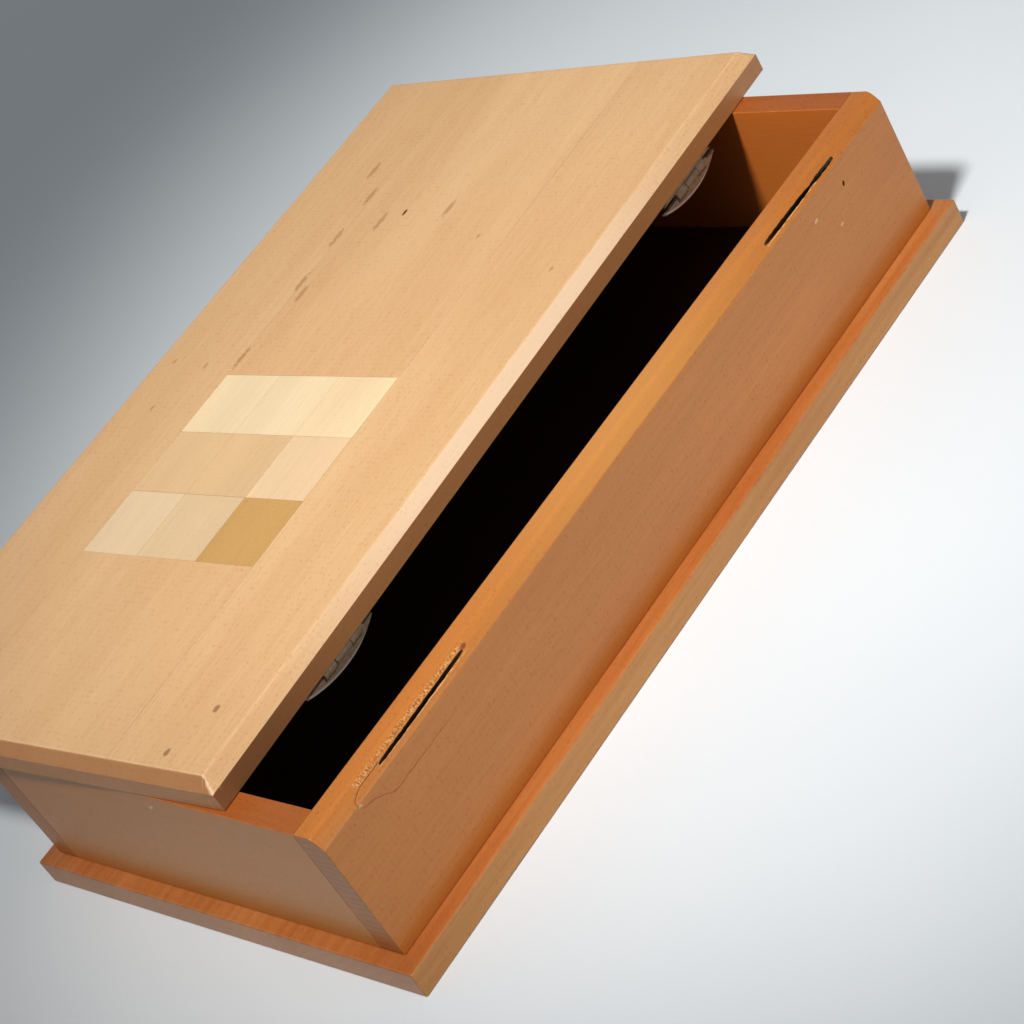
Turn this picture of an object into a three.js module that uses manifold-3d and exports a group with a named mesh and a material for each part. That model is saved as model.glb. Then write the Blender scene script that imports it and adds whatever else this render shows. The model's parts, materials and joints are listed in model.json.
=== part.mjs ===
// Wooden puzzle box: a shallow rectangular box with an overhanging base board, four wall boards
// and a loose lid made of three planks, with a three by three block inlay. Two half-moon hinges
// hang under the lid's front edge, pulled out of the kerfs in the front wall.
// Millimetres, +Z up. The origin is the centre of the base board's underside; +X runs along the
// box's length and the wall with the hinge kerfs faces -Y.

import * as THREE from 'three';
import { mergeVertices } from 'three/addons/utils/BufferGeometryUtils.js';
import Module from 'manifold-3d';

const wasm = await Module();
wasm.setup();

// ---- driving dimensions ----
const GAP = 0.3;                 // clearance between pieces inside the turned lid group
const OVERCUT = 1;               // how far a cutting body reaches past what it cuts

const BASE_LENGTH = 346;
const BASE_WIDTH = 183;
const BASE_THICKNESS = 10.3;
const BASE_EASING = 0.8;         // small bevel round the base board's top

const WALL_HEIGHT = 52.4;
const WALL_SETBACK_X = 5.7;      // base ledge beyond the end walls
const WALL_SETBACK_Y = 6.8;      // base ledge beyond the long walls
const LONG_WALL_THICKNESS = 10.2;
const END_WALL_THICKNESS = 9.5;
const WALL_EASING = 0.5;         // small bevel along the walls' outer top edges
const HINGE_CHAMFER_Y = 3.1;     // chamfer on the front wall's outer top edge
const HINGE_CHAMFER_Z = 4.6;

const LID_LENGTH = 348.4;
const LID_WIDTH = 183.2;
const LID_THICKNESS = 11.1;
const LID_CHAMFERS = [3.7, 4.4]; // sloping margin at the lid's short and long edges, width
const LID_CHAMFER_DROP = 4.2;    // and height
const LID_SHIFT = [4.1, 56.6];   // where the lid's centre lies over the box
const LID_TURN = THREE.MathUtils.degToRad(2.76);

const TILE_LENGTH = 29.5;        // one inlay block along the lid
const TILE_WIDTHS = [28.1, 30.1, 28.1];  // the three columns of blocks, back to front
const TILE_ROWS = 3;
const TILE_THICKNESS = 3;
const INLAY_END = -1.9;          // the inlay's edge nearest the lid's middle

const CUTTER_RADIUS = 50;        // the disc cutter's radius, which the half-moon leaves share
const KERF_WIDTH = 2.4;
const KERF_DEPTH = 5.9;
const KERF_FACETS = 120;         // facets round the whole cutter disc
const KERF_CENTRES = [-115.5, 108.6];

const LEAF_THICKNESS = 1.6;
const LEAF_SAGITTA = 4.4;        // from the pin line down to the half-moon's lowest point
const LEAF_CENTRES = [-108.9, 118.7];
const PIN_DROPS = [2.7, 4.8];    // each pin line's depth under the lid
const PIN_LINE_Y = -88.5;        // distance of the pin lines from the lid's centre line
const PIN_RADIUS = 0.8;
const KNUCKLE_RADIUS = 1.7;
const KNUCKLE_BORE = 0.9;
const CENTRE_KNUCKLE = 9;        // length of the hanging leaf's one knuckle
const OUTER_KNUCKLE = 6.2;       // length of each of the lid leaf's two knuckles
const LID_LEAF_RISE = 5.8;        // how far the lid leaf reaches above its pin line
const ROUND_STEPS = 20;          // facets round a knuckle, bore or pin

// ---- derived sizes ----
const WALL_LENGTH = BASE_LENGTH - 2 * WALL_SETBACK_X;
const WALL_DEPTH = BASE_WIDTH - 2 * WALL_SETBACK_Y;
const WALL_TOP = BASE_THICKNESS + WALL_HEIGHT;
const TILE_BAND = TILE_WIDTHS.reduce((sum, width) => sum + width, 0);
const OUTER_PLANK = (LID_WIDTH - TILE_BAND) / 2;
const KNUCKLE_HALF_LENGTH = CENTRE_KNUCKLE / 2 + GAP + OUTER_KNUCKLE;

// ---- materials ----
const material = (color, roughness, metalness = 0) =>
  new THREE.MeshStandardMaterial({ color, roughness, metalness });
const WALL_WOOD = 0xb07a48;
const END_WOOD = 0xa97a4c;
const BASE_WOOD = 0xb9733c;
const LID_WOOD = 0xe8bd88;
const STEEL = 0xa39a90;
const TILE_COLOURS = [
  [0xf6dcb4, 0xf4d9a8, 0xf6d3a8],
  [0xe9c08c, 0xdcae72, 0xf2cfa2],
  [0xf1d2a8, 0xe6c090, 0xd09f56],
];

// ---- solids ----
function toSolid(geometry) {
  const bare = geometry.index ? geometry.toNonIndexed() : geometry.clone();
  bare.deleteAttribute('normal');
  bare.deleteAttribute('uv');
  const merged = mergeVertices(bare, 1e-4);
  return new wasm.Manifold(new wasm.Mesh({
    numProp: 3,
    vertProperties: new Float32Array(merged.attributes.position.array),
    triVerts: new Uint32Array(merged.index.array),
  }));
}

function toGeometry(solid) {
  const mesh = solid.getMesh();
  const geometry = new THREE.BufferGeometry();
  geometry.setAttribute('position', new THREE.BufferAttribute(mesh.vertProperties, 3));
  geometry.setIndex(new THREE.BufferAttribute(mesh.triVerts, 1));
  return geometry;
}

function named(name, geometry, look) {
  const mesh = new THREE.Mesh(geometry, look);
  mesh.name = name;
  return mesh;
}

// A board of the given size, its underside centred on the origin.
function board(length, width, thickness) {
  return new THREE.BoxGeometry(length, width, thickness).translate(0, 0, thickness / 2);
}

// A section drawn in the YZ plane as [y, z] points, run along X and centred on the origin.
function prismAlongX(section, length) {
  const shape = new THREE.Shape(section.map(([y, z]) => new THREE.Vector2(y, z)));
  const geometry = new THREE.ExtrudeGeometry(shape, { depth: length, bevelEnabled: false });
  const turn = new THREE.Matrix4().set(
    0, 0, 1, -length / 2,
    1, 0, 0, 0,
    0, 1, 0, 0,
    0, 0, 0, 1,
  );
  return geometry.applyMatrix4(turn);
}

// A rectangular block whose top edges slope in on all four sides, underside at z = 0. It has
// three levels of corners: the underside, the foot of the slopes and the top.
function slopedBoard(length, width, thickness, [insetX, insetY], drop) {
  const geometry = new THREE.BoxGeometry(length, width, thickness, 1, 1, 2);
  geometry.translate(0, 0, thickness / 2);
  const position = geometry.attributes.position;
  for (let i = 0; i < position.count; i += 1) {
    const [x, y, z] = [position.getX(i), position.getY(i), position.getZ(i)];
    const level = Math.round((2 * z) / thickness);
    if (level === 2) {
      position.setX(i, x - Math.sign(x) * insetX);
      position.setY(i, y - Math.sign(y) * insetY);
    } else if (level === 1) {
      position.setZ(i, thickness - drop);
    }
  }
  return geometry;
}

// ---- box ----
function baseBoard() {
  const insets = [BASE_EASING, BASE_EASING];
  return slopedBoard(BASE_LENGTH, BASE_WIDTH, BASE_THICKNESS, insets, BASE_EASING);
}

// A disc cutter's cut at one kerf, square to the front wall's chamfered edge.
function kerfCut(x) {
  const disc = new THREE.CylinderGeometry(CUTTER_RADIUS, CUTTER_RADIUS, KERF_WIDTH, KERF_FACETS);
  disc.translate(0, 0, CUTTER_RADIUS - KERF_DEPTH);
  disc.rotateX(Math.atan2(HINGE_CHAMFER_Z, HINGE_CHAMFER_Y));
  disc.translate(x, (HINGE_CHAMFER_Y - WALL_DEPTH) / 2, WALL_TOP - HINGE_CHAMFER_Z / 2);
  return toSolid(disc);
}

function frontWall() {
  const outer = -WALL_DEPTH / 2;
  const section = [
    [outer, BASE_THICKNESS],
    [outer + LONG_WALL_THICKNESS, BASE_THICKNESS],
    [outer + LONG_WALL_THICKNESS, WALL_TOP],
    [outer + HINGE_CHAMFER_Y, WALL_TOP],
    [outer, WALL_TOP - HINGE_CHAMFER_Z],
  ];
  let wall = toSolid(prismAlongX(section, WALL_LENGTH));
  for (const x of KERF_CENTRES) wall = wall.subtract(kerfCut(x));
  return toGeometry(wall);
}

function backWall() {
  const outer = WALL_DEPTH / 2;
  const section = [
    [outer - LONG_WALL_THICKNESS, BASE_THICKNESS],
    [outer, BASE_THICKNESS],
    [outer, WALL_TOP - WALL_EASING],
    [outer - WALL_EASING, WALL_TOP],
    [outer - LONG_WALL_THICKNESS, WALL_TOP],
  ];
  return prismAlongX(section, WALL_LENGTH);
}

function endWall(side) {
  const length = WALL_DEPTH - 2 * LONG_WALL_THICKNESS;
  const wall = board(END_WALL_THICKNESS, length, WALL_HEIGHT);
  return wall.translate(side * (WALL_LENGTH - END_WALL_THICKNESS) / 2, 0, BASE_THICKNESS);
}

function boxGroup() {
  const group = new THREE.Group();
  group.add(
    named('base_board', baseBoard(), material(BASE_WOOD, 0.6)),
    named('front_wall', frontWall(), material(WALL_WOOD, 0.55)),
    named('back_wall', backWall(), material(WALL_WOOD, 0.55)),
    named('left_end_wall', endWall(-1), material(END_WOOD, 0.55)),
    named('right_end_wall', endWall(1), material(END_WOOD, 0.55)),
  );
  return group;
}

// ---- lid ----
function lidBlank() {
  return toSolid(slopedBoard(LID_LENGTH, LID_WIDTH, LID_THICKNESS, LID_CHAMFERS, LID_CHAMFER_DROP));
}

// The part of the lid blank between two distances from its long centre line.
function lidPlank(low, high) {
  const window = board(LID_LENGTH + OVERCUT, high - low - GAP, LID_THICKNESS + 2 * OVERCUT);
  window.translate(0, (low + high) / 2, -OVERCUT);
  return lidBlank().intersect(toSolid(window));
}

function middlePlank() {
  const length = TILE_ROWS * TILE_LENGTH;
  const recess = board(length, TILE_BAND + OVERCUT, TILE_THICKNESS + GAP + OVERCUT);
  recess.translate(INLAY_END - length / 2, 0, LID_THICKNESS - TILE_THICKNESS - GAP);
  return toGeometry(lidPlank(-TILE_BAND / 2, TILE_BAND / 2).subtract(toSolid(recess)));
}

// The front plank is grooved underneath where the two lid leaves stand in it.
function frontPlank() {
  let plank = lidPlank(-LID_WIDTH / 2 - GAP, -TILE_BAND / 2);
  LEAF_CENTRES.forEach((x, i) => {
    const depth = LID_LEAF_RISE - PIN_DROPS[i] + GAP;
    const groove = leafPlate(depth + OVERCUT, LEAF_THICKNESS + 2 * GAP, GAP);
    groove.rotateX(Math.PI).translate(x, PIN_LINE_Y, -OVERCUT);
    plank = plank.subtract(toSolid(groove));
  });
  return toGeometry(plank);
}

function inlayTile(row, column) {
  const width = TILE_WIDTHS[column];
  const before = TILE_WIDTHS.slice(0, column).reduce((sum, each) => sum + each, 0);
  const tile = board(TILE_LENGTH - GAP, width - 2 * GAP, TILE_THICKNESS);
  return tile.translate(
    INLAY_END - (row + 0.5) * TILE_LENGTH,
    TILE_BAND / 2 - before - width / 2,
    LID_THICKNESS - TILE_THICKNESS,
  );
}

// ---- half-moon hinges ----
// A thin plate under z = 0 that a circle of the cutter's radius bounds below, depth mm deep.
function leafPlate(depth, thickness, grow = 0) {
  const radius = CUTTER_RADIUS + grow;
  const half = Math.sqrt(radius ** 2 - (radius - depth) ** 2);
  const angle = Math.asin(half / radius);
  const shape = new THREE.Shape();
  shape.absarc(0, radius - depth, radius, -Math.PI / 2 - angle, -Math.PI / 2 + angle, false);
  shape.closePath();
  const options = { depth: thickness, bevelEnabled: false, curveSegments: 24 };
  const geometry = new THREE.ExtrudeGeometry(shape, options);
  return geometry.translate(0, 0, -thickness / 2).rotateX(Math.PI / 2);
}

function rod(radius, length, x = 0) {
  const geometry = new THREE.CylinderGeometry(radius, radius, length, ROUND_STEPS);
  return geometry.rotateZ(Math.PI / 2).translate(x, 0, 0);
}

// The hanging leaf: a half-moon with one knuckle at its middle, round the pin.
function wallLeaf() {
  const reach = CENTRE_KNUCKLE / 2 + GAP;
  const clear = 2 * (KNUCKLE_RADIUS + GAP);
  const notch = board(OUTER_KNUCKLE + 2 * GAP, LEAF_THICKNESS + 2 * OVERCUT, clear);
  notch.translate(reach + OUTER_KNUCKLE / 2, 0, -KNUCKLE_RADIUS - GAP);
  let leaf = toSolid(leafPlate(LEAF_SAGITTA, LEAF_THICKNESS));
  leaf = leaf.subtract(toSolid(notch));
  leaf = leaf.subtract(toSolid(notch.clone().translate(-2 * reach - OUTER_KNUCKLE, 0, 0)));
  leaf = leaf.add(toSolid(rod(KNUCKLE_RADIUS, CENTRE_KNUCKLE)));
  return toGeometry(leaf.subtract(toSolid(rod(KNUCKLE_BORE, CENTRE_KNUCKLE + OVERCUT))));
}

// The lid leaf: the mirrored half-moon, with a knuckle on each side of the hanging leaf's.
function lidLeaf() {
  const plate = leafPlate(LID_LEAF_RISE, LEAF_THICKNESS).rotateX(Math.PI);
  const clear = 2 * (KNUCKLE_RADIUS + GAP);
  const clearance = board(2 * CUTTER_RADIUS, LEAF_THICKNESS + 2 * OVERCUT, clear);
  clearance.translate(0, 0, -clear / 2);
  const offset = CENTRE_KNUCKLE / 2 + GAP + OUTER_KNUCKLE / 2;
  const stem = board(OUTER_KNUCKLE, LEAF_THICKNESS, 2 * KNUCKLE_RADIUS);
  let leaf = toSolid(plate).subtract(toSolid(clearance));
  for (const side of [-1, 1]) {
    leaf = leaf.add(toSolid(stem.clone().translate(side * offset, 0, 0)));
    leaf = leaf.add(toSolid(rod(KNUCKLE_RADIUS, OUTER_KNUCKLE, side * offset)));
  }
  const bore = rod(KNUCKLE_BORE, 2 * KNUCKLE_HALF_LENGTH + OVERCUT);
  return toGeometry(leaf.subtract(toSolid(bore)));
}

function hingeGroup(side, centre, drop) {
  const group = new THREE.Group();
  group.position.set(centre, PIN_LINE_Y, -drop);
  group.add(
    named(`${side}_lid_leaf`, lidLeaf(), material(STEEL, 0.45, 0.85)),
    named(`${side}_wall_leaf`, wallLeaf(), material(STEEL, 0.4, 0.85)),
    named(`${side}_hinge_pin`, rod(PIN_RADIUS, 2 * KNUCKLE_HALF_LENGTH), material(STEEL, 0.4, 0.9)),
  );
  return group;
}

function lidGroup() {
  const group = new THREE.Group();
  group.position.set(LID_SHIFT[0], LID_SHIFT[1], WALL_TOP + GAP);
  group.rotation.z = LID_TURN;
  const backPlank = lidPlank(TILE_BAND / 2, TILE_BAND / 2 + OUTER_PLANK + GAP);
  group.add(
    named('lid_front_plank', frontPlank(), material(LID_WOOD, 0.5)),
    named('lid_middle_plank', middlePlank(), material(LID_WOOD, 0.5)),
    named('lid_back_plank', toGeometry(backPlank), material(LID_WOOD, 0.5)),
  );
  TILE_COLOURS.forEach((colours, row) => colours.forEach((colour, column) => {
    const name = `inlay_tile_${row + 1}_${column + 1}`;
    group.add(named(name, inlayTile(row, column), material(colour, 0.5)));
  }));
  ['left', 'right'].forEach((side, i) => {
    group.add(hingeGroup(side, LEAF_CENTRES[i], PIN_DROPS[i]));
  });
  return group;
}

const puzzleBox = new THREE.Group();
puzzleBox.add(boxGroup(), lidGroup());

export default puzzleBox;
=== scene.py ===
"""Looks of the wooden puzzle box: its boards, torn hinge kerfs, inlay blocks and half-moon leaves.

Everything is in metres in the row frame. The lid's pieces are made in the lid's own frame, whose X
runs along the planks, so the grain runs with them.
"""
import json
import math
import random

import bmesh
import bpy
from mathutils import Matrix, Vector, noise


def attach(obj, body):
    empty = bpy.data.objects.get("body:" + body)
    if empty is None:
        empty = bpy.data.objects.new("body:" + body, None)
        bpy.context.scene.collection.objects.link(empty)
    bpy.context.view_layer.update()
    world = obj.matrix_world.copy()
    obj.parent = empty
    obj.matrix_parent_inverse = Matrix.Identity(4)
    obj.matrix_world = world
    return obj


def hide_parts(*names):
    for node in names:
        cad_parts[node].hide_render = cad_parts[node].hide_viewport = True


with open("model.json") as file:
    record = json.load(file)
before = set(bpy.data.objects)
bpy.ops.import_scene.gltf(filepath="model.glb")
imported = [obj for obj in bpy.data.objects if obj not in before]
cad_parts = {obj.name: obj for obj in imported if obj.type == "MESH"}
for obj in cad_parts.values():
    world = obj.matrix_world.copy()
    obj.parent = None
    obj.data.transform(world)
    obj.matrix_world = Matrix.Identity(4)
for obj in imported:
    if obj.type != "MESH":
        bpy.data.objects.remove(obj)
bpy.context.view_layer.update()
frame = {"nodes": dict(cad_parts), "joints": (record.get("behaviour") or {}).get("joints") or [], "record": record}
NODES = frame["nodes"]
MM = 0.001

# ---- camera ----
CAMERA_TARGET = Vector((-0.0121, -0.0249, 0.0308))
CAMERA_DISTANCE = 0.82
CAMERA_AZIMUTH = math.radians(-124.08)
CAMERA_ELEVATION = math.radians(33.16)
CAMERA_ROLL = math.radians(32.5)
CAMERA_LENS = 87.08              # mm on a 36 mm sensor

# ---- lights ----
LAMP_PLACE = Vector((-0.529, -0.249, 1.221))
LAMP_TARGET = Vector((0.140, -0.045, 0.0))
LAMP_POWER = 73                              # watts
LAMP_RADIUS = 0.09
LAMP_ANGLE = math.radians(38)
FILL_PLACE = Vector((0.05, -1.20, 0.30))     # a weak low panel in front of the box
FILL_TARGET = Vector((0.0, -0.05, 0.03))
FILL_POWER = 2.1
FILL_SIZE = 0.5
SKY_STRENGTH = 0.22

# ---- sizes of the front wall's chamfer, kerfs and crack ----
HINGE_CHAMFER = Vector((0, 3.1, 4.6)) * MM   # along Y and Z
DISC_RADIUS = 50 * MM                        # of the disc that cut the kerfs, and of the leaves
KERF_DEPTH = 5.9 * MM
LEFT_KERF = (-136.8 * MM, -92.2 * MM)        # ends along X
RIGHT_KERF = (89.4 * MM, 136.2 * MM)
SPLINTER = 120 * MM                          # where a splinter narrows the right kerf
CRACK_START = -150.7 * MM                    # where the crack crosses the chamfer's lower arris
CRACK_END = -106 * MM
NAIL_HOLE = Vector((133.5 * MM, 0, -12.9 * MM))    # Z is from the wall's top

# ---- sizes of the lid and the hinge leaves ----
LID_CHAMFERS = Vector((3.7, 4.4, 4.2)) * MM  # in from the short edges, in from the long ones, down
SEAM_FILL = 0.13 * MM                        # the glued pieces reach this much into the CAD's gaps
LEAF_SAGITTA = 4.4 * MM                      # from a leaf's pin down to its lowest point
LEAF_GROUND = 0.2                            # share of a leaf's right half that is ground away

# ---- painted marks, in millimetres ----
SCRATCH = (-160, -4, 57)                     # on the left end wall
PALE_NICKS = [(113.9, -13.1), (124.4, -23.1), (-149.8, -5.4)]    # front wall; Z is from its top
SMEARS = [(7, 43), (42, 39), (48, 44), (74, 45), (98, 45), (114, 55), (82, 28), (88, -3)]
SPECKS = [(2.4, 58.8), (-19.9, 69), (4.9, 78), (52.7, -75.8), (71.3, -29)]
KNOTS = [(-146.6, -73.3), (-165, -66.5)]
RED_SPOT = (87, 18.7)                        # the smears, specks, knots and this: from the lid's middle

# ---- colours that more than one piece has ----
# painted shade: the dark colour put on the box's floor, the back wall's inner face and the lid's underside, where
# the inside lies in shade
INSIDE_SHADE = "33201d"                        # on the box's floor and faces that look into it
GLOSS_TINT = (1.0, 0.98, 0.62, 1)            # the old varnish yellows what it reflects
TILE_COLOURS = [
    ["f8dcae", "f6dcaf", "f6d7a9"],
    ["e9c18f", "e6be8d", "f3cfa2"],
    ["efd0a5", "e4c396", "d0a05c"],
]


# ---- frames and boxes ----
BOX = Matrix.Identity(4)
LID_PLANKS = ["lid_front_plank", "lid_middle_plank", "lid_back_plank"]


def span(names, place=BOX):
    """The lowest and highest corner of some CAD nodes, as seen from the frame place."""
    back = place.inverted()
    points = [back @ v.co for name in names for v in NODES[name].data.vertices]
    low = Vector(min(p[i] for p in points) for i in range(3))
    high = Vector(max(p[i] for p in points) for i in range(3))
    return low, high


def lid_frame():
    """The lid's own frame: its underside's middle, with X along the planks."""
    axis = next(j for j in frame["joints"] if j["name"] == "left_leaf_swing")["axis"]
    turn = Matrix.Rotation(math.atan2(axis[1], axis[0]), 4, "Z")
    low, high = span(LID_PLANKS, turn)
    return turn @ Matrix.Translation(((low.x + high.x) / 2, (low.y + high.y) / 2, low.z))


LID = lid_frame()


# ---- materials ----
def tint(code, light=1.0):
    """A colour written as an sRGB hex code, as linear RGBA."""
    levels = [int(code[i:i + 2], 16) / 255 for i in (0, 2, 4)]
    return tuple(light * (c / 12.92 if c <= 0.04045 else ((c + 0.055) / 1.055) ** 2.4)
                 for c in levels) + (1.0,)


class Graph:
    """A material's nodes, made by short calls. A value is a number, a tuple or a socket."""

    def __init__(self, name):
        self.material = bpy.data.materials.new(name)
        self.material.use_nodes = True
        self.tree = self.material.node_tree
        self.shader = self.tree.nodes["Principled BSDF"]
        self.place = self.tree.nodes.new("ShaderNodeTexCoord").outputs

    def put(self, socket, value):
        if isinstance(value, bpy.types.NodeSocket):
            self.tree.links.new(value, socket)
        else:
            socket.default_value = value

    def node(self, kind, values, **settings):
        made = self.tree.nodes.new("ShaderNode" + kind)
        for key, value in settings.items():
            setattr(made, key, value)
        for key, value in values.items():
            self.put(made.inputs[key], value)
        return made

    def math(self, operation, first, second=0.0, clamp=False):
        values = {0: first, 1: second}
        return self.node("Math", values, operation=operation, use_clamp=clamp).outputs[0]

    def vector(self, operation, first, second):
        return self.node("VectorMath", {0: first, 1: second}, operation=operation).outputs[0]

    def split(self, vector):
        return self.node("SeparateXYZ", {0: vector}).outputs

    def mix(self, factor, first, second, blend="MIX"):
        values = {0: factor, 6: first, 7: second}
        return self.node("Mix", values, data_type="RGBA", blend_type=blend).outputs[2]

    def noise(self, vector, scale=1.0, detail=2.0, roughness=0.5):
        values = {"Vector": vector, "Scale": scale, "Detail": detail, "Roughness": roughness}
        return self.node("TexNoise", values).outputs[0]

    def step(self, value, low, high, start=0.0, end=1.0):
        """A smooth step of value from low to high, giving start to end."""
        values = {0: value, 1: low, 2: high, 3: start, 4: end}
        return self.node("MapRange", values, interpolation_type="SMOOTHSTEP").outputs[0]

    def total(self, first, *others):
        for other in others:
            first = self.math("ADD", first, other)
        return first

    def scaled(self, value, centre, size):
        """value measured from centre, times size."""
        return self.math("MULTIPLY", self.math("SUBTRACT", value, centre), size)

    def both(self, *masks):
        """Where all the masks are, as their product."""
        found = masks[0]
        for mask in masks[1:]:
            found = self.math("MULTIPLY", found, mask)
        return found

    def band(self, value, low, high, soft):
        """Where a value lies between two limits, with soft ends."""
        rising = self.step(value, low - soft, low + soft)
        return self.both(rising, self.step(value, high + soft, high - soft))

    def length(self, vector):
        return self.node("VectorMath", {0: vector}, operation="LENGTH").outputs["Value"]

    def dot(self, first, second):
        return self.node("VectorMath", {0: first, 1: second}, operation="DOT_PRODUCT").outputs["Value"]

    def bump(self, height, distance):
        return self.node("Bump", {"Height": height, "Distance": distance}).outputs[0]

    def finish(self, colour, roughness, normal, **constants):
        """Links the shader up. constants are sockets that are the same all over."""
        self.put(self.shader.inputs["Base Color"], colour)
        self.put(self.shader.inputs["Roughness"], roughness)
        self.put(self.shader.inputs["Normal"], normal)
        for key, value in constants.items():
            self.shader.inputs[key.replace("_", " ")].default_value = value
        return self.material


class Wood(Graph):
    """Solid timber: rings, streaks, fibres and pores that run along one axis."""

    def __init__(self, name, shift, along="X"):
        super().__init__(name)
        at = self.vector("MULTIPLY", self.place["Object"], (1 / MM,) * 3)
        self.at = at
        if along == "Y":
            at = self.node("Mapping", {0: at, 2: (0, 0, math.pi / 2)}).outputs[0]
        self.grain = self.vector("ADD", at, (137.0 * shift, 61.0 * shift, 23.0 * shift))
        self.normal = self.split(self.place["Normal"])
        facing = self.normal[along]
        self.end_grain = self.step(self.math("ABSOLUTE", facing), 0.52, 0.72)

    def stretched(self, along, across):
        return self.vector("MULTIPLY", self.grain, (along, across, across))

    def rings(self, pith, pitch, wander):
        """Growth rings round a pith line beside the board, 0 to 1."""
        drift = self.noise(self.stretched(0.004, 0.02), detail=1)
        flat = self.vector("MULTIPLY", self.grain, (0, 1, 1))
        offset = self.vector("ADD", flat, (0, *pith))
        radius = self.math("ADD", self.length(offset), self.scaled(drift, 0.5, wander))
        wave = self.math("SINE", self.math("MULTIPLY", radius, math.tau / pitch))
        return self.total(self.math("MULTIPLY", wave, 0.5), 0.5)

    def pores(self, length, width, share):
        """Short dark dashes along the grain, in a share of the cells."""
        cells = self.node("TexVoronoi", {"Vector": self.stretched(1 / length, 1 / width), "Scale": 1.0})
        chance = self.split(cells.outputs["Color"])[0]
        chosen = self.step(chance, 1 - share, 1 - share + 0.05)
        return self.math("MULTIPLY", self.step(cells.outputs["Distance"], 0.34, 0.12), chosen)

    def blot(self, centre, size, ragged):
        """A ragged spot: centre and half sizes in millimetres, with inf along the face's normal."""
        torn = self.noise(self.at, 0.55, 3)
        offset = self.vector("SUBTRACT", self.at, tuple(centre))
        flat = self.vector("MULTIPLY", offset, tuple(1 / each for each in size))
        reach = self.math("ADD", self.length(flat), self.scaled(torn, 0.5, ragged))
        return self.step(reach, 1.1, 0.55)

    def inside(self, low, high):
        """Over the floor between two corners, in metres, with a slightly soft edge."""
        parts = self.split(self.at)
        mask = self.step(parts[2], (high.z - 0.5 * MM) / MM, (high.z - 0.4 * MM) / MM)
        for i in range(2):
            middle, half = (low[i] + high[i]) / 2 / MM, (high[i] - low[i]) / 2 / MM
            away = self.math("ABSOLUTE", self.math("SUBTRACT", parts[i], middle))
            mask = self.math("MULTIPLY", mask, self.step(away, half, half - 1))
        return mask

    def worn(self):
        """Where the board's arrises are, broken up by noise."""
        edge = self.node("Attribute", {}, attribute_name="arris").outputs["Fac"]
        return self.math("MULTIPLY", edge, self.step(self.noise(self.at, 0.25, 3), 0.35, 0.7))

    def timber(self, pale, deep, *, pith=(60, 90), pitch=2.6, wander=22, ring=0.25, streak=0.35,
               fibre=0.35, broad=0.5, pore=0.5, pore_size=(2.6, 0.42), pore_share=0.5,
               end=(0.72, 0.66, 0.62, 1), side=None, rough=0.42, relief=0.05, marks=(), worn=None,
               **constants):
        """The whole look. ring, streak, fibre and broad say how much each shifts the tone, end and
        side multiply the colour on end grain and on the faces across Y, marks are pairs of a mask
        and a paint, and worn is the paint of rubbed arrises."""
        fine = self.noise(self.stretched(0.06, 2.6), detail=3, roughness=0.6)
        tone = self.total(
            0.5,
            self.scaled(self.rings(pith, pitch, wander), 0.5, ring),
            self.scaled(self.noise(self.stretched(0.012, 0.42), detail=3), 0.5, streak * 2),
            self.scaled(fine, 0.5, fibre * 2),
            self.scaled(self.noise(self.stretched(0.006, 0.035), detail=2), 0.5, broad * 2),
        )
        pores = self.pores(*pore_size, pore_share)
        colour = self.mix(self.math("ADD", tone, 0.0, clamp=True), deep, pale)
        colour = self.mix(self.math("MULTIPLY", pores, pore), colour, deep, "MULTIPLY")
        for mask, paint in marks:
            colour = self.mix(mask, colour, paint)
        colour = self.mix(self.end_grain, colour, self.mix(1.0, colour, end, "MULTIPLY"))
        if side:
            facing = self.step(self.math("ABSOLUTE", self.normal["Y"]), 0.85, 0.97)
            colour = self.mix(facing, colour, self.mix(1.0, colour, side, "MULTIPLY"))
        if worn:
            colour = self.mix(self.both(self.worn(), 0.3), colour, worn)
        height = self.math("SUBTRACT", fine, self.math("MULTIPLY", pores, 0.8))
        roughness = self.total(rough, self.scaled(fine, 0.5, 0.16), self.math("MULTIPLY", pores, 0.15))
        return self.finish(colour, roughness, self.bump(height, relief * MM), **constants)


# ---- boards ----
def soft_min(a, b, blur):
    """The smaller of two values, rounded off where they meet."""
    near = max(blur - abs(a - b), 0) / blur
    return min(a, b) - near * near * blur / 4


def stations(low, high, edge, step, marks=()):
    """Grid positions from low to high: close together at the rounded ends, then step apart."""
    count = max(1, round((high - low - 2 * edge) / step))
    rows = {low + edge + (high - low - 2 * edge) * i / count for i in range(count + 1)}
    for bite in (0, 0.3, 0.65):
        rows |= {low + bite * edge, high - bite * edge}
    return sorted(rows | {m for m in marks if low + edge < m < high - edge})


def grid_box(axes):
    """A closed box with a grid on every face."""
    mesh, corners = bmesh.new(), {}

    def corner(index):
        if index not in corners:
            corners[index] = mesh.verts.new([axes[i][index[i]] for i in range(3)])
        return corners[index]

    for a in range(3):
        b, c = (a + 1) % 3, (a + 2) % 3
        for side in (0, len(axes[a]) - 1):
            for p in range(len(axes[b]) - 1):
                for q in range(len(axes[c]) - 1):
                    face = []
                    for up, right in ((p, q), (p + 1, q), (p + 1, q + 1), (p, q + 1)):
                        index = [side] * 3
                        index[b], index[c] = up, right
                        face.append(corner(tuple(index)))
                    mesh.faces.new(face if side else face[::-1])
    return mesh


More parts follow.
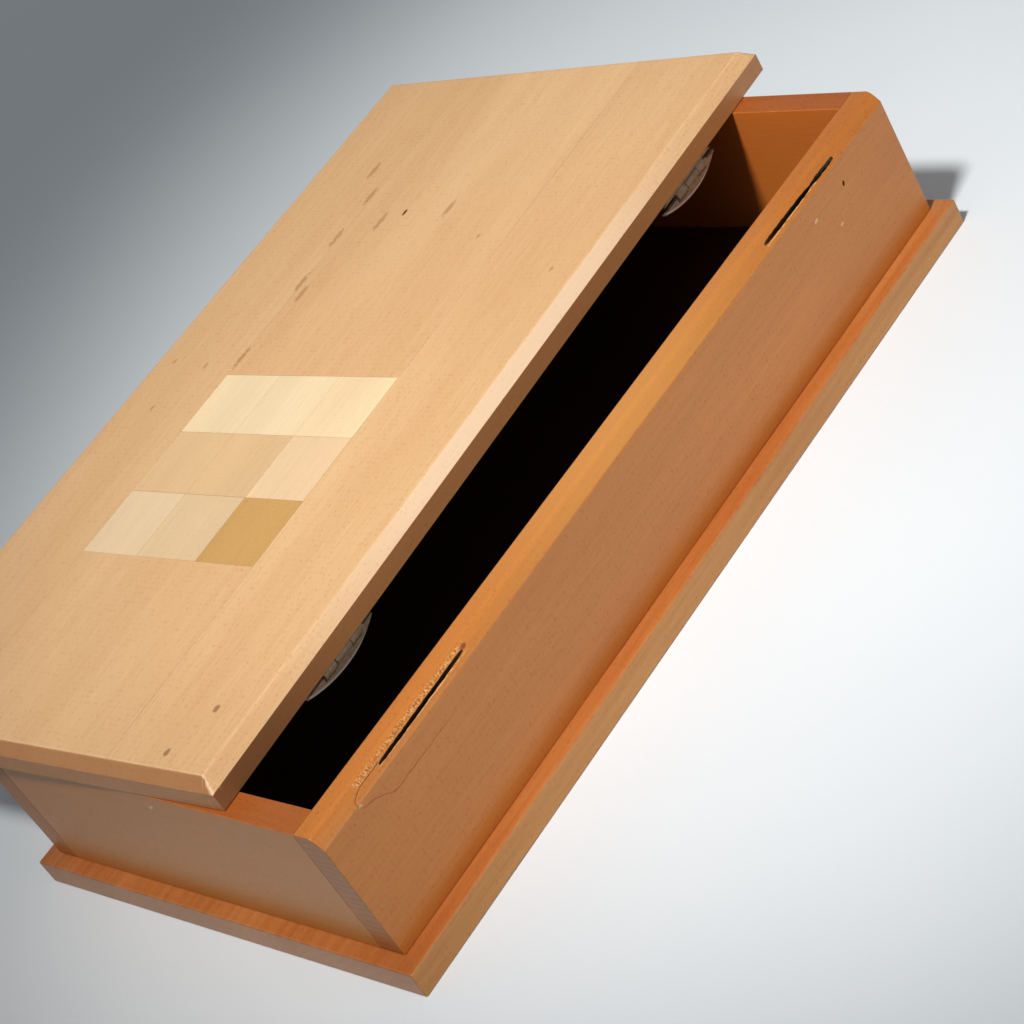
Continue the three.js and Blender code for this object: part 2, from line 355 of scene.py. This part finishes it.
def board(name, low, high, place=BOX, edge=0.4 * MM, step=3 * MM, slopes=(), drop=0.0,
          blur=0.15, wave=0.05 * MM, worn_slopes=False):
    """A board with rounded arrises, its faces left a little uneven by the plane. slopes are (axis, side, inset):
    top margins that fall by drop over their inset, rounded by a share blur of it where they start
    and counted as rubbed there with worn_slopes."""
    marks = {0: [], 1: [], 2: []}
    for axis, side, inset in slopes:
        for share in (0.25, 0.5, 0.75, 1 - blur, 1 - blur / 2, 1, 1 + blur / 2, 1 + blur):
            marks[axis].append(high[axis] - share * inset if side > 0 else low[axis] + share * inset)
    mesh = grid_box([stations(low[i], high[i], edge, step, marks[i]) for i in range(3)])
    arris = mesh.verts.layers.float.new("arris")
    for vert in mesh.verts:
        core = Vector(min(max(vert.co[i], low[i] + edge), high[i] - edge) for i in range(3))
        away = vert.co - core
        bent = sum(abs(a) > edge * 0.1 for a in away) > 1
        outward = away.normalized()
        at = core + outward * edge
        rise = 1.0
        for axis, side, inset in slopes:
            reach = (high[axis] - at[axis] if side > 0 else at[axis] - low[axis]) / inset
            bent = bent or (worn_slopes and abs(reach - 1) < blur / 3)
            rise = soft_min(rise, reach, blur)
        top = high.z - drop * (1 - rise)
        at.z = low.z + (at.z - low.z) * (top - low.z) / (high.z - low.z)
        ripple = noise.noise(at * 45 + Vector((len(name), 0, 0)))
        vert.co = at - outward * wave * (0.5 + 0.5 * ripple)
        vert[arris] = 1.0 if bent else 0.0
    return made_object(name, mesh, place)


def made_object(name, mesh, place=BOX):
    data = bpy.data.meshes.new(name)
    bmesh.ops.recalc_face_normals(mesh, faces=mesh.faces)
    if mesh.calc_volume(signed=True) < 0:
        bmesh.ops.reverse_faces(mesh, faces=mesh.faces)
    mesh.to_mesh(data)
    mesh.free()
    piece = bpy.data.objects.new(name, data)
    piece.matrix_world = place
    bpy.context.scene.collection.objects.link(piece)
    return piece


def smooth(piece, angle=35):
    """Smooth shading with sharp edges kept, and normals that keep flat faces flat."""
    piece.data.polygons.foreach_set("use_smooth", [True] * len(piece.data.polygons))
    piece.data.set_sharp_from_angle(angle=math.radians(angle))
    normals = piece.modifiers.new("normals", "WEIGHTED_NORMAL")
    normals.keep_sharp = True
    return piece


def cut(piece, cutters):
    """Takes the cutting bodies away from a piece, for good."""
    for cutter in cutters:
        bite = piece.modifiers.new("cut", "BOOLEAN")
        bite.object, bite.operation, bite.solver = cutter, "DIFFERENCE", "EXACT"
    bpy.context.view_layer.update()
    graph = bpy.context.evaluated_depsgraph_get()
    data = bpy.data.meshes.new_from_object(piece.evaluated_get(graph))
    piece.modifiers.clear()
    piece.data = data
    for cutter in cutters:
        bpy.data.objects.remove(cutter)
    return piece


def groove(name, path):
    """A closed body along a path, to cut a groove with. Each station of the path is a point, the
    surface's normal, how far the groove reaches to each side, and its depth."""
    mesh, rings = bmesh.new(), []
    for i, (point, normal, reach, depth) in enumerate(path):
        along = path[min(i + 1, len(path) - 1)][0] - path[max(i - 1, 0)][0]
        side = normal.cross(along).normalized()
        section = ((reach[1], 0.6 * MM), (-reach[0], 0.6 * MM), (-reach[0], -depth), (reach[1], -depth))
        rings.append([mesh.verts.new(point + side * a + normal * h) for a, h in section])
    for ring, other in zip(rings, rings[1:]):
        for i in range(4):
            mesh.faces.new((ring[i - 1], ring[i], other[i], other[i - 1]))
    mesh.faces.new(rings[0])
    mesh.faces.new(rings[-1][::-1])
    return made_object(name, mesh)


def dress(piece, body, material, slot, *replaced):
    """Gives a finished piece its material and body, and hides the CAD nodes that it replaces."""
    piece.data.materials.clear()
    piece.data.materials.append(material)
    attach(piece, body)
    if replaced:
        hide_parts(*replaced)
    return piece


# ---- the front wall's torn kerfs and crack ----
def chamfer_frame():
    """A point on the front wall's chamfer, its way down the slope and its outward normal."""
    low, high = span(["front_wall"])
    down = Vector((0, -HINGE_CHAMFER.y, -HINGE_CHAMFER.z)).normalized()
    normal = Vector((0, -HINGE_CHAMFER.z, HINGE_CHAMFER.y)).normalized()
    return Vector((0, low.y + HINGE_CHAMFER.y, high.z)), down, normal


def kerf(name, ends, *, centre, drift, half_width, seed, pinch=None):
    """A disc cutter's kerf with ragged lips, down the chamfer at the distance centre. It wanders
    by drift along its length, and a splinter narrows it at pinch."""
    origin, down, normal = chamfer_frame()
    dice = random.Random(seed)
    middle, half = (ends[0] + ends[1]) / 2, (ends[1] - ends[0]) / 2
    path, x = [], ends[0]
    while x < ends[1]:
        share = (x - middle) / half
        depth = math.sqrt(DISC_RADIUS ** 2 - (x - middle) ** 2) - DISC_RADIUS + KERF_DEPTH
        narrow = 0.4 + 0.6 * (1 - abs(share) ** 8) ** 0.5
        if pinch:
            narrow *= 1 - 0.45 * math.exp(-((x - pinch) / (2.5 * MM)) ** 2)
        lips = [max(half_width * narrow + dice.uniform(-0.07, 0.09) * MM, 0.15 * MM) for _ in range(2)]
        point = origin + Vector((x, 0, 0)) + down * (centre + drift * share)
        path.append((point, normal, lips, max(depth, 0.5 * MM)))
        x += dice.uniform(0.4, 1.6) * MM
    return groove(name, path)


def crack():
    """The hairline crack from the left kerf's end, over the chamfer and back along the face."""
    origin, down, normal = chamfer_frame()
    dice = random.Random(7)
    path = []
    steps = 14
    width = 0.09 * MM
    for i in range(steps + 1):
        share = i / steps
        x = LEFT_KERF[0] + (CRACK_START - LEFT_KERF[0]) * min(1, share * 1.15)
        slide = 2.7 * MM + 2.9 * MM * max(0, share - 0.55) ** 1.5 / 0.45 ** 1.5
        slide += dice.uniform(-0.12, 0.12) * MM
        path.append((origin + Vector((x, 0, 0)) + down * slide, normal, (width, width), 0.6 * MM))
    over_chamfer = groove("crack_over_chamfer", path)
    low, high = span(["front_wall"])
    path, x = [], CRACK_START
    while x < CRACK_END:
        run = (x - CRACK_START) / MM
        slope = min(max((run - 4.7) / 9, 0), 1)
        fall = 4.9 + 3 * (1 - math.exp(-run / 1.6)) + 4.7 * slope * slope * (3 - 2 * slope)
        fall += dice.uniform(-0.3, 0.3)
        width = 0.07 * MM * min(1, (CRACK_END - x) / (24 * MM)) + 0.02 * MM
        point = Vector((x, low.y, high.z - fall * MM))
        path.append((point, Vector((0, -1, 0)), (width, width), 0.22 * MM))
        x += dice.uniform(0.6, 1.5) * MM
    return [over_chamfer, groove("crack_on_face", path)]


def nail_hole():
    """A slightly slanting oval hole in the front wall's face."""
    low, high = span(["front_wall"])
    point = Vector((NAIL_HOLE.x, low.y, high.z + NAIL_HOLE.z))
    path = []
    for share in (-1, -0.6, 0, 0.6, 1):
        width = 0.55 * MM * math.sqrt(1.05 - share * share) + 0.05 * MM
        at = point + Vector((0.35 * share, 0, 1.0 * share)) * MM
        path.append((at, Vector((0, -1, 0)), (width, width), 2.5 * MM))
    return groove("nail_hole", path)


# ---- camera, floor and lights ----
def add_camera():
    data = bpy.data.cameras.new("camera")
    data.sensor_width, data.lens = 36, CAMERA_LENS
    data.clip_start, data.clip_end = 0.01, 50
    camera = bpy.data.objects.new("camera", data)
    outward = Vector((
        math.cos(CAMERA_ELEVATION) * math.cos(CAMERA_AZIMUTH),
        math.cos(CAMERA_ELEVATION) * math.sin(CAMERA_AZIMUTH),
        math.sin(CAMERA_ELEVATION),
    ))
    level = outward.to_track_quat("Z", "Y").to_matrix().to_4x4()
    place = Matrix.Translation(CAMERA_TARGET + outward * CAMERA_DISTANCE)
    camera.matrix_world = place @ level @ Matrix.Rotation(-CAMERA_ROLL, 4, "Z")
    bpy.context.scene.collection.objects.link(camera)
    bpy.context.scene.camera = camera


def add_floor():
    mesh = bmesh.new()
    bmesh.ops.create_grid(mesh, x_segments=24, y_segments=24, size=4)
    floor = made_object("floor", mesh)
    g = Graph("pale_paper")
    cloud = g.noise(g.place["Object"], 3.0, 3)
    tooth = g.noise(g.place["Object"], 900.0, 2)
    colour = g.mix(g.step(cloud, 0.3, 0.7), tint("e4eaee"), tint("ebf0f3"))
    dress_stage(floor, g.finish(colour, 0.7, g.bump(tooth, 0.05 * MM)))


def dress_stage(piece, material):
    piece.data.materials.append(material)


def hang(light, place, target):
    holder = bpy.data.objects.new(light.name, light)
    aim = (place - target).to_track_quat("Z", "Y").to_matrix().to_4x4()
    holder.matrix_world = Matrix.Translation(place) @ aim
    bpy.context.scene.collection.objects.link(holder)


def add_lights():
    lamp = bpy.data.lights.new("lamp", "SPOT")
    lamp.energy, lamp.color = LAMP_POWER, (1.0, 0.99, 0.975)
    lamp.spot_size, lamp.spot_blend, lamp.shadow_soft_size = LAMP_ANGLE, 1.0, LAMP_RADIUS
    hang(lamp, LAMP_PLACE, LAMP_TARGET)
    fill = bpy.data.lights.new("fill", "AREA")
    fill.energy, fill.size, fill.color = FILL_POWER, FILL_SIZE, (1.0, 0.97, 0.92)
    hang(fill, FILL_PLACE, FILL_TARGET)
    world = bpy.data.worlds.new("studio")
    world.use_nodes = True
    sky = world.node_tree.nodes["Background"].inputs
    sky["Color"].default_value, sky["Strength"].default_value = (0.92, 0.96, 1.0, 1), SKY_STRENGTH
    bpy.context.scene.world = world
    bpy.context.scene.view_settings.view_transform = "Standard"


# ---- the pieces ----
def base_look():
    """The base board's wood, with painted shade darkening it where it is the box's floor."""
    wood = Wood("orange_board", 1)
    left, right = span(["left_end_wall"])[1], span(["right_end_wall"])[0]
    front, back = span(["front_wall"])[1], span(["back_wall"])[0]
    top = span(["base_board"])[1].z
    # painted shade over the box's floor between the walls
    floor_shade = wood.inside(Vector((left.x, front.y, 0)), Vector((right.x, back.y, top)))
    return wood.timber(
        tint("ca7f44"), tint("a4521e"), pitch=3.4, ring=0.12, streak=0.35, pore=0.5, rough=0.38,
        end=(0.68, 0.72, 0.64, 1), side=(1.0, 1.22, 1.05, 1), marks=[(floor_shade, tint(INSIDE_SHADE))],
        worn=tint("c98a58"), Coat_Weight=0.1, Coat_Roughness=0.3, IOR=1.68, Specular_Tint=GLOSS_TINT)


def add_box():
    low, high = span(["base_board"])
    base = board("base_board_wood", low, high, edge=0.7 * MM, step=5 * MM)
    dress(smooth(base), "box", base_look(), "base_wood", "base_board")

    low, high = span(["front_wall"])
    front = board("front_wall_wood", low, high, edge=0.35 * MM, step=2.5 * MM,
                  slopes=[(1, -1, HINGE_CHAMFER.y)], drop=HINGE_CHAMFER.z, blur=0.45)
    left_cut = kerf("left_cut", LEFT_KERF, centre=3.0 * MM, drift=-0.25 * MM,
                    half_width=0.61 * MM, seed=3)
    right_cut = kerf("right_cut", RIGHT_KERF, centre=3.3 * MM, drift=0.3 * MM,
                     half_width=0.74 * MM, seed=5, pinch=SPLINTER)
    cut(front, [left_cut, right_cut, nail_hole(), *crack()])
    look = wall_look("front_wall_look", 2, "X", front_marks)
    dress(smooth(front), "box", look, "wall_wood", "front_wall")

    low, high = span(["back_wall"])
    back = board("back_wall_wood", low, high, edge=0.6 * MM, step=5 * MM)
    look = wall_look("back_wall_look", 3.7, "X", back_marks)
    dress(smooth(back), "box", look, "wall_wood", "back_wall")
    for side, shift in (("left", 5.1), ("right", 6.3)):
        node = side + "_end_wall"
        low, high = span([node])
        end = board(node + "_wood", low, high, edge=0.35 * MM, step=4 * MM)
        look = wall_look(node + "_look", shift, "Y", end_marks)
        dress(smooth(end), "box", look, "wall_wood", node)


def wall_look(name, shift, along, marks):
    """A wall's wood, with the marks that the function marks makes on it."""
    pale, deep = ("d27e33", "b26428") if along == "X" else ("ba6529", "9f501e")
    wood = Wood(name, shift, along)
    return wood.timber(
        tint(pale), tint(deep), pith=(30, 140), pitch=3.0, ring=0.06, streak=0.26, fibre=0.28,
        broad=0.5, pore=0.7, pore_size=(2.0, 0.3), pore_share=0.5, rough=0.38,
        end=(0.62, 0.6, 0.6, 1), marks=marks(wood), worn=tint("d98a44"),
        Coat_Weight=0.1, Coat_Roughness=0.3, IOR=1.68, Specular_Tint=GLOSS_TINT)


def back_marks(wood):
    """Painted shade darkens the back wall's inner face, as on the floor."""
    return [(wood.step(wood.normal["Y"], -0.8, -0.95, 0, 0.85), tint(INSIDE_SHADE))]


def end_marks(wood):
    """The outer faces get a painted greyish-yellow sheen, the inner ones are painted a brighter orange for the
    light on them, and the left wall is scratched.
    """
    outward = wood.math("MULTIPLY", wood.normal["X"], wood.split(wood.at)["X"])
    outer = wood.step(outward, 100, 140)
    return [
        # painted sheen on the outer faces, then painted light on the inner faces
        (wood.both(outer, 0.5), tint("b5803c")),
        (wood.step(outward, -100, -140, 0, 0.75), tint("dc7a30")),
        (wood.both(wood.blot(SCRATCH, (9, 3.4, 1.5), 1.8), outer, 0.6), tint("e3cba6")),
    ]


def front_marks(wood):
    """The front wall's marks: a painted pool of light on the middle of its top and chamfer, round its kerfs, then
    on its outer faces.
    """
    origin, down, normal = chamfer_frame()
    offset = wood.vector("SUBTRACT", wood.at, tuple(origin / MM))
    run, slide, rise = wood.split(offset)["X"], wood.dot(offset, down), wood.dot(offset, normal)
    # painted light: the middle of the top and the chamfer is painted paler and yellower where the lamp's beam is
    # brightest
    painted_pool = wood.both(wood.step(wood.normal["Z"], 0.35, 0.5), wood.band(run, -60, 70, 60), 0.55)
    return [(painted_pool, tint("dd9b52")), *kerf_marks(wood, run, slide, rise), *face_marks(wood, origin)]


def kerf_marks(wood, run, slide, rise):
    """The scraped band beside the left kerf, painted shade inside both kerfs and painted highlights
    along their outer lips. run, slide and rise are along the chamfer, down it and out of it, in millimetres."""
    left, right = (end / MM for end in LEFT_KERF)
    ragged = wood.scaled(wood.noise(wood.at, 0.5, 3), 0.5, 3.0)
    torn_run = wood.math("ADD", run, ragged)
    torn_slide = wood.math("ADD", slide, wood.math("MULTIPLY", ragged, 0.2))
    scraped = wood.both(
        wood.band(torn_run, left - 10, right + 1, 2),
        wood.band(torn_slide, -0.4, 2.3, 0.4),
        wood.band(rise, -0.3, 2, 0.1))
    tooth = wood.noise(wood.vector("MULTIPLY", wood.at, (2.2, 1.1, 1.1)), 1.0, 2)
    spots = wood.step(wood.noise(wood.at, 0.16, 2), 0.5, 0.66, 0.55, 0.95)
    # painted shade: the inside of both kerfs is painted near black
    kerf_shade = wood.both(
        wood.band(run, -137.5, 137.5, 0.3),
        wood.band(slide, 1.7, 4.6, 0.2),
        wood.band(rise, -7, -0.3, 0.2))
    marks = [
        (wood.both(scraped, wood.step(tooth, 0.5, 0.38), 0.6), tint("8a4718")),
        (wood.both(scraped, wood.step(tooth, 0.48, 0.6), spots), tint("efbd7c")),
        (kerf_shade, tint("34180f")),
    ]
    broken = wood.step(wood.noise(wood.at, 0.6, 2), 0.4, 0.55, 0.1, 0.85)
    # painted highlights: thin, broken pale lines along the kerfs' outer lips
    for ends, lip in ((LEFT_KERF, 3.72), (RIGHT_KERF, 4.1)):
        line = wood.both(
            wood.band(run, ends[0] / MM, ends[1] / MM, 2),
            wood.band(torn_slide, lip - 0.1, lip + 0.16, 0.09),
            wood.band(rise, -0.2, 2, 0.1))
        marks.append((wood.both(line, broken), tint("f3c288")))
    return marks


def face_marks(wood, origin):
    """Saw ribs on the left end grain, pale nicks, and a bruise at the left kerf's inner end."""
    wander = wood.scaled(wood.noise(wood.at, 0.2, 3), 0.5, 9)
    height = wood.math("MULTIPLY", wood.split(wood.at)["Z"], math.tau / 2.7)
    ribs = wood.step(wood.math("SINE", wood.math("ADD", height, wander)), -0.2, 0.9)
    marks = [(wood.both(wood.step(wood.normal["X"], -0.9, -0.97), ribs, 0.4), tint("7d5637"))]
    top, outer = origin.z / MM, wood.step(wood.normal["Y"], -0.4, -0.6)
    for x, z in PALE_NICKS:
        nick = wood.blot((x, 0, top + z), (1.1, math.inf, 0.6), 1.6)
        marks.append((wood.both(nick, outer, 0.6), tint("e8c79a")))
    bruise = wood.blot((LEFT_KERF[1] / MM + 0.6, 0, top - 1.9), (1.6, math.inf, 0.7), 0.8)
    marks.append((wood.both(bruise, outer, 0.75), tint("6e2412")))
    return marks


def lid_marks(wood):
    """Smears, specks, knots and a red spot on top, painted shade on the underside, a painted highlight
    on the middle of the front chamfer and painted shade on the left end of the front edge."""
    brown, red, knot_brown = tint("a8703c"), tint("5a2410"), tint("7c5230")

    def spots(centres, size, ragged, strength, paint):
        for x, y in centres:
            yield wood.both(wood.blot((x, y, 0), (*size, math.inf), ragged), strength), paint

    run = wood.split(wood.at)["X"]
    # painted highlight: the middle of the front chamfer is painted paler
    chamfer = wood.step(wood.math("ABSOLUTE", wood.math("ADD", wood.normal["Y"], 0.69)), 0.2, 0.1)
    middle = wood.step(wood.math("ABSOLUTE", run), 150, 40, 0, 0.55)
    # painted shade: the left end of the front side face is painted darker
    left_end_shade = wood.both(wood.step(wood.normal["Y"], -0.85, -0.97), wood.step(run, -90, -165, 0, 0.5))
    return [
        *spots(SMEARS, (6.0, 1.4), 1.7, 0.55, brown),
        *spots(SPECKS, (1.7, 0.8), 1.3, 0.55, brown),
        *spots([RED_SPOT], (2.1, 0.8), 0.3, 1.0, red),
        *spots(KNOTS, (1.9, 1.3), 1.2, 0.7, knot_brown),
        # painted shade: the lid's underside is painted dark
        (wood.step(wood.normal["Z"], -0.8, -0.95, 0, 0.85), tint(INSIDE_SHADE)),
        (wood.both(chamfer, middle), tint("fadfc2")),
        (left_end_shade, tint("7a5642")),
    ]


def lid_look(name, shift):
    wood = Wood(name, shift)
    # side is painted shade: it darkens and browns the lid's long side faces
    return wood.timber(
        tint("efc490"), tint("d8a570"), pith=(20, 150), pitch=4.2, ring=0.04, streak=0.17, fibre=0.42,
        broad=0.45, pore=0.75, pore_size=(2.2, 0.30), pore_share=0.42, rough=0.46,
        end=(0.60, 0.46, 0.36, 1), side=(0.70, 0.51, 0.37, 1), marks=lid_marks(wood),
        worn=tint("fbdcb0"), Coat_Weight=0.12, Coat_Roughness=0.35)


def add_lid():
    whole_low, whole_high = span(LID_PLANKS, LID)
    both_ends = [(0, -1, LID_CHAMFERS.x), (0, 1, LID_CHAMFERS.x)]
    slopes = {
        "lid_front_plank": [(1, -1, LID_CHAMFERS.y)],
        "lid_middle_plank": [],
        "lid_back_plank": [(1, 1, LID_CHAMFERS.y)],
    }
    for shift, node in enumerate(LID_PLANKS):
        low, high = span([node], LID)
        low.y = max(low.y - SEAM_FILL, whole_low.y)
        high.y = min(high.y + SEAM_FILL, whole_high.y)
        plank = board(node + "_wood", low, high, LID, edge=0.08 * MM, step=3 * MM,
                      slopes=both_ends + slopes[node], drop=LID_CHAMFERS.z, worn_slopes=True)
        if node == "lid_middle_plank":
            cut(plank, [inlay_recess(whole_high.z)])
        look = lid_look(node + "_look", 1.3 + shift * 1.7)
        dress(smooth(plank), "lid", look, "lid_wood", node)


def inlay_recess(top):
    """The body that cuts the inlay's recess, a little wider and deeper than the blocks."""
    tiles = [n for n in NODES if n.startswith("inlay_tile")]
    low, high = span(tiles, LID)
    grow = Vector((0.16, 0.8, 0)) * MM
    mesh = grid_box([[low[i] - grow[i], high[i] + grow[i]] for i in range(2)]
                    + [[low.z - 0.1 * MM, top + 1 * MM]])
    return made_object("inlay_recess", mesh, LID)


def add_inlay():
    for row, colours in enumerate(TILE_COLOURS):
        for column, code in enumerate(colours):
            node = f"inlay_tile_{row + 1}_{column + 1}"
            low, high = span([node], LID)
            grow = Vector((0.11 * MM, 2 * SEAM_FILL, 0))
            tile = board(node + "_wood", low - grow, high + grow, LID, edge=0.08 * MM, wave=0.03 * MM)
            shift = 8.3 + 2.9 * row + 1.1 * column
            look = Wood(node + "_look", shift).timber(
                tint(code, 1.12), tint(code, 0.86), pith=(15 * row - 20, 40 + 20 * column), pitch=3.1,
                ring=0.04, streak=0.16, fibre=0.3, broad=0.6, pore=0.4, pore_size=(1.8, 0.3),
                pore_share=0.35, rough=0.45, end=(0.8, 0.74, 0.7, 1),
                Coat_Weight=0.12, Coat_Roughness=0.35)
            slot = next(p["material_slot"] for p in frame["record"]["subparts"] if p["node"] == node)
            dress(smooth(tile), "lid", look, slot, node)


def metal_look(name, pin=None):
    """Dull aged steel. A leaf that hangs from the given pin has a painted bright glint along its rim."""
    g = Graph(name)
    at = g.vector("MULTIPLY", g.place["Object"], (1 / MM,) * 3)
    blotch = g.noise(at, 0.45, 4, 0.6)
    speck = g.noise(at, 2.2, 3, 0.6)
    colour = g.mix(g.step(blotch, 0.38, 0.62), tint("b5a07c"), tint("cbb09a"))
    colour = g.mix(g.math("MULTIPLY", g.step(speck, 0.56, 0.68), 0.75), colour, tint("5d5146"))
    if pin:
        centre = (pin + Vector((0, 0, DISC_RADIUS - LEAF_SAGITTA))) / MM
        reach = g.length(g.vector("SUBTRACT", at, tuple(centre)))
        edge = DISC_RADIUS / MM
        # painted highlight: a bright glint along the hanging leaf's rim
        rim_glint = g.step(g.math("ADD", reach, g.scaled(speck, 0.5, 0.5)), edge - 1.1, edge - 0.5)
        colour = g.mix(rim_glint, colour, tint("fff4e2"))
    rough = g.total(0.42, g.scaled(blotch, 0.5, 0.4))
    return g.finish(colour, rough, g.bump(speck, 0.06 * MM), Metallic=0.15)


def add_hinges():
    pins = {j["child"]: Vector(j["pos_m"]) for j in frame["joints"] if j["type"] == "hinge"}
    for name, node in NODES.items():
        if name.endswith("hinge_pin"):
            node.data.materials.clear()
            node.data.materials.append(metal_look(name + "_look"))
        if name.endswith("_leaf"):
            side, kind = name.split("_")[:2]
            body = side + "_leaf" if kind == "wall" else "lid"
            leaf = made_object(name + "_plate", worn_leaf(node.data, pins[side + "_leaf"]))
            look = metal_look(name + "_look", pins[side + "_leaf"] if kind == "wall" else None)
            dress(smooth(leaf), body, look, "hinge_metal", name)


def worn_leaf(data, pin):
    """A leaf with softened edges, ground shorter in its right-hand half."""
    mesh = bmesh.new()
    mesh.from_mesh(data)
    bmesh.ops.remove_doubles(mesh, verts=mesh.verts, dist=1e-6)
    bmesh.ops.dissolve_limit(mesh, angle_limit=math.radians(1), verts=mesh.verts, edges=mesh.edges)
    sharp = [e for e in mesh.edges if e.calc_face_angle(0) > math.radians(50)]
    bmesh.ops.bevel(mesh, geom=sharp, offset=0.18 * MM, segments=2, affect="EDGES", profile=0.5)
    along = (LID.to_3x3() @ Vector((1, 0, 0))).normalized()
    for vert in mesh.verts:
        vert.co -= along * max((vert.co - pin).dot(along), 0) * LEAF_GROUND
    return mesh


add_camera()
add_floor()
add_lights()
add_box()
add_lid()
add_inlay()
add_hinges()
